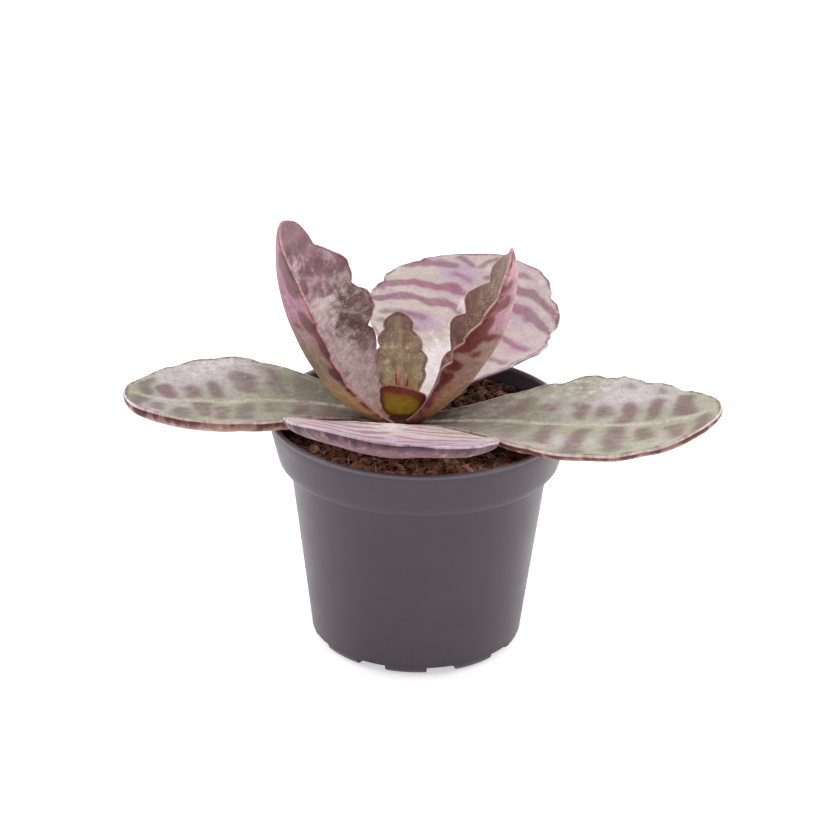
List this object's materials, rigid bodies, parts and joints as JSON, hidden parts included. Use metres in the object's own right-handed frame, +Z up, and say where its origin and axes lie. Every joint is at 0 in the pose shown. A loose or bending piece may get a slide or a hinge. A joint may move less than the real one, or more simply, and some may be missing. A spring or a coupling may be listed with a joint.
{
  "type": "potted kalanchoe humilis",
  "caption": "Low succulent with broad mottled scalloped leaves in opposite pairs on a short stem, growing in a small round plastic nursery pot of peat soil.",
  "frame": {"origin": "on the pot's axis at the level its feet stand on, at the middle of the flat pad under the pot", "axes": "+Z up; +X to the right of the plant's front, along its longest spread; the front faces -Y"},
  "size_m": [0.1642, 0.1501, 0.1242],
  "materials": {
    "pot_plastic": "satin",
    "peat_soil": "matte",
    "stem_bark": "matte",
    "leaf_blade": "matte",
    "young_leaf": "matte",
    "bud_leaf": "matte"
  },
  "bodies": {
    "root": {"pot": "pot_plastic", "soil": "peat_soil", "stem": "stem_bark", "leaf_left": "leaf_blade", "leaf_right": "leaf_blade", "leaf_front": "leaf_blade", "leaf_back": "leaf_blade", "leaf_upright_left": "leaf_blade", "leaf_upright_right": "leaf_blade", "leaf_young_back": "young_leaf", "leaf_young_front": "young_leaf", "leaf_bud_left": "bud_leaf", "leaf_bud_right": "bud_leaf"}
  },
  "joints": []
}
